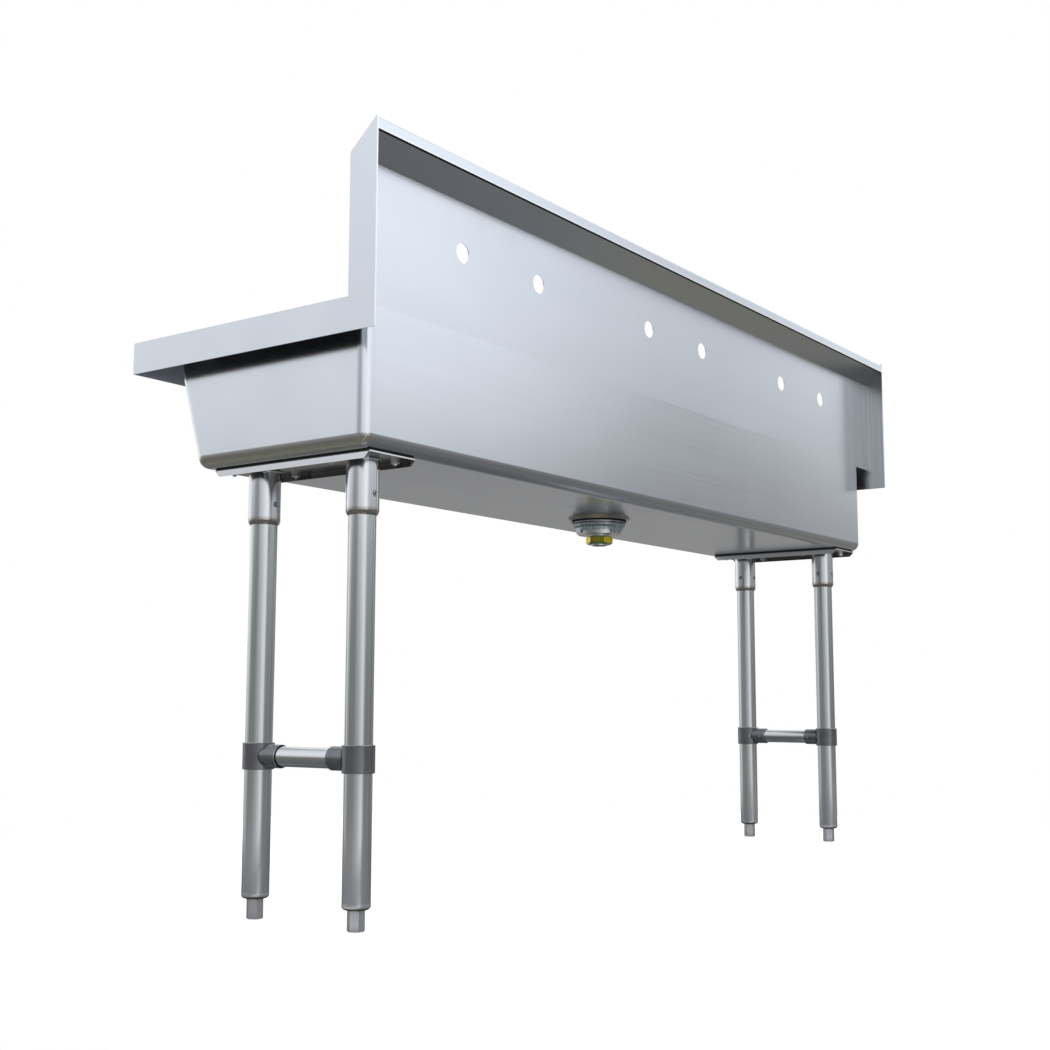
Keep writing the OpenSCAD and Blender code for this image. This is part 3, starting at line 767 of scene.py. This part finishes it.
# The floor is pale to the camera and dark to the steel; to the steel it has painted shade that
# darkens it towards the middle, and painted pools of light beside the legs on the wall's side
print("stage")
stageLook = {
    "radius": 1.5,
    "rise": -0.0005,
    "toneStart": 0.3,
    "nearTone": 0.06,
    "farTone": 0.12,
    "besideTone": 0.45,
    "besideRight": (0.86, 0.96, 0.04),
    "besideLeft": (-0.74, -0.64, 0.04),
    "besideDepth": (0.0, 0.42, 0.05),
    "shownShare": 0.06,
    "pale": (0.9, 0.9, 0.9, 1.0),
    "glowTone": (1.0, 1.0, 1.0, 1.0),
    "glow": 0.55,
}
lone()
bpy.ops.mesh.primitive_circle_add(
    vertices=96,
    radius=stageLook["radius"],
    fill_type="NGON",
    location=(0, 0, stageLook["rise"]),
)
floor = bpy.context.object
floor.name = "studioFloor"
paper = Finish("paleFloor")
east, north = paper.axis("X"), paper.axis("Y")
# painted shade, darker near the middle
outward = ((east * east + north * north) ** 0.5).step(stageLook["toneStart"], stageLook["radius"])
tone = paper.blendColours(outward, (stageLook["nearTone"],) * 3, (stageLook["farTone"],) * 3)
# painted pools of light beside the legs
beside = (east.within(*stageLook["besideRight"]) + east.within(*stageLook["besideLeft"])).clamp()
beside = beside * north.within(*stageLook["besideDepth"])
tone = paper.blendColours(beside, tone, (stageLook["besideTone"],) * 3)
dim = paper.add("ShaderNodeBsdfDiffuse", {"Color": tone})
pale = paper.add("ShaderNodeBsdfDiffuse", {"Color": stageLook["pale"]})
glowValues = {"Color": stageLook["glowTone"], "Strength": stageLook["glow"]}
glow = paper.add("ShaderNodeEmission", glowValues)
paleGlow = paper.add("ShaderNodeAddShader", {0: pale.outputs[0], 1: glow.outputs[0]})
seen = paper.shown(stageLook["shownShare"])
pick = paper.add("ShaderNodeMixShader", {0: seen, 1: dim.outputs[0], 2: paleGlow.outputs[0]})
floor.data.materials.append(paper.finishWith(pick))

# A studio round the object, in degrees: light by height and by direction from +X towards +Y,
# with a soft box low on either side and a small one between them
skyLook = {
    "byHeight": (
        (-90, (0.11, 0.105, 0.095)),
        (-45, (0.12, 0.115, 0.10)),
        (-34, (0.15, 0.145, 0.11)),
        (-20, (0.13, 0.128, 0.125)),
        (-9, (0.19, 0.187, 0.183)),
        (1, (0.21, 0.21, 0.21)),
        (6, (0.28, 0.284, 0.292)),
        (9, (0.46, 0.472, 0.49)),
        (12, (0.72, 0.745, 0.78)),
        (16, (0.88, 0.915, 0.965)),
        (24, (0.98, 1.02, 1.08)),
        (50, (1.02, 1.05, 1.10)),
    ),
    "aroundLow": (
        (-180, 1.25), (-140, 1.25), (-110, 0.85), (-66, 0.8), (-52, 0.62),
        (-38, 0.66), (-22, 0.82), (112, 0.76), (120, 0.84), (127, 1.12),
        (135, 0.8), (143, 0.5), (153, 0.7), (165, 1.0),
    ),
    "aroundHigh": (
        (-150, 1.0), (-60, 0.94), (-42, 0.95), (-30, 0.7), (-8, 0.5), (6, 0.7),
        (18, 1.15), (56, 1.24), (90, 1.18), (120, 1.1), (138, 1.2), (144, 1.16),
        (147.5, 0.86), (149.5, 0.36), (153.5, 0.46), (156, 1.05), (158.5, 1.6),
        (166, 1.4), (175, 0.9),
    ),
    "aroundBlend": (0, 6),
    "topLevel": 0.8,
    "topBlend": (28, 44),
    "leftBox": ((-135, 0.0), (-105, 0.8), (-76, 0.82), (-61, 0.36), (-50, 0.0)),
    "leftFoot": (-10, 6),
    "rightBox": ((0, 0.03), (36, 0.26), (62, 0.64), (74, 0.66), (83, 0.09), (98, 0.0)),
    "rightFoot": (-11, -8),
    "boxTop": (6, 14),
    "endBox": ((-75, 0.0), (-55, 0.3), (-34, 0.3), (-22, 0.0)),
    "endFoot": (7, 9),
    "endTop": (11, 13.5),
    "white": (1, 1, 1, 1),
    "shownShare": 0.06,
}
world = bpy.data.worlds.new("studioSky")
bpy.context.scene.world = world
world.use_nodes = True
sky = Net(world.node_tree)


# A ramp over span degrees from low
def skyRamp(angle, low, span, stops):
    ramp = sky.add("ShaderNodeValToRGB", {0: (angle - low) / span})
    elements = ramp.color_ramp.elements
    for i, (degrees, colour) in enumerate(stops):
        place = (degrees - low) / span
        stop = elements[i] if i < 2 else elements.new(place)
        stop.position = place
        stop.color = (*colour, 1.0)
    return ramp.outputs[0]


coords = sky.add("ShaderNodeTexCoord")
split = sky.add("ShaderNodeSeparateXYZ", {0: coords.outputs["Generated"]})
east, north, up = (Wire(sky.tree, split.outputs[name]) for name in "XYZ")
height = up.math("ARCSINE") * (180 / math.pi)
turn = north.math("ARCTAN2", east) * (180 / math.pi)
byHeight = skyRamp(height, -90, 180, skyLook["byHeight"])


def around(name):
    stops = [(degrees, (level,) * 3) for degrees, level in skyLook[name]]
    return Wire(sky.tree, skyRamp(turn, -180, 360, stops))


lift = height.step(*skyLook["aroundBlend"])
crown = height.step(*skyLook["topBlend"])
strength = around("aroundHigh") * lift + around("aroundLow") * (1 - lift)
strength = strength * (1 - crown) + crown * skyLook["topLevel"]
leftBox = around("leftBox") * height.step(*skyLook["leftFoot"])
rightBox = around("rightBox") * height.step(*skyLook["rightFoot"])
sideBoxes = (leftBox + rightBox) * (1 - height.step(*skyLook["boxTop"]))
endBox = around("endBox") * height.step(*skyLook["endFoot"])
endBox = endBox * (1 - height.step(*skyLook["endTop"]))
studio = sky.add("ShaderNodeBackground", {0: byHeight, 1: strength})
lamps = sky.add("ShaderNodeBackground", {0: skyLook["white"], 1: sideBoxes + endBox})
both = sky.add("ShaderNodeAddShader", {0: studio.outputs[0], 1: lamps.outputs[0]})
white = sky.add("ShaderNodeBackground", {0: skyLook["white"]})
shown = sky.shown(skyLook["shownShare"])
choose = sky.add("ShaderNodeMixShader", {0: shown, 1: both.outputs[0], 2: white.outputs[0]})
sky.add("ShaderNodeOutputWorld", {0: choose.outputs[0]})

print("camera")
cameraLook = {
    "place": (2.32897, 1.53032, 0.32293),
    "yaw": 215.848,
    "pitch": 7.031,
    "roll": -0.096,
    "lens": 48.70,
    "sensor": 36.0,
    "clipEnd": 60.0,
}
bpy.ops.object.camera_add(location=cameraLook["place"])
camera = bpy.context.object
camera.data.sensor_width = cameraLook["sensor"]
camera.data.lens = cameraLook["lens"]
camera.data.clip_end = cameraLook["clipEnd"]
camera.rotation_euler = (
    math.radians(90 + cameraLook["pitch"]),
    math.radians(cameraLook["roll"]),
    math.radians(cameraLook["yaw"] - 90),
)
bpy.context.scene.camera = camera
bpy.context.scene.view_settings.view_transform = "Standard"

print("done")
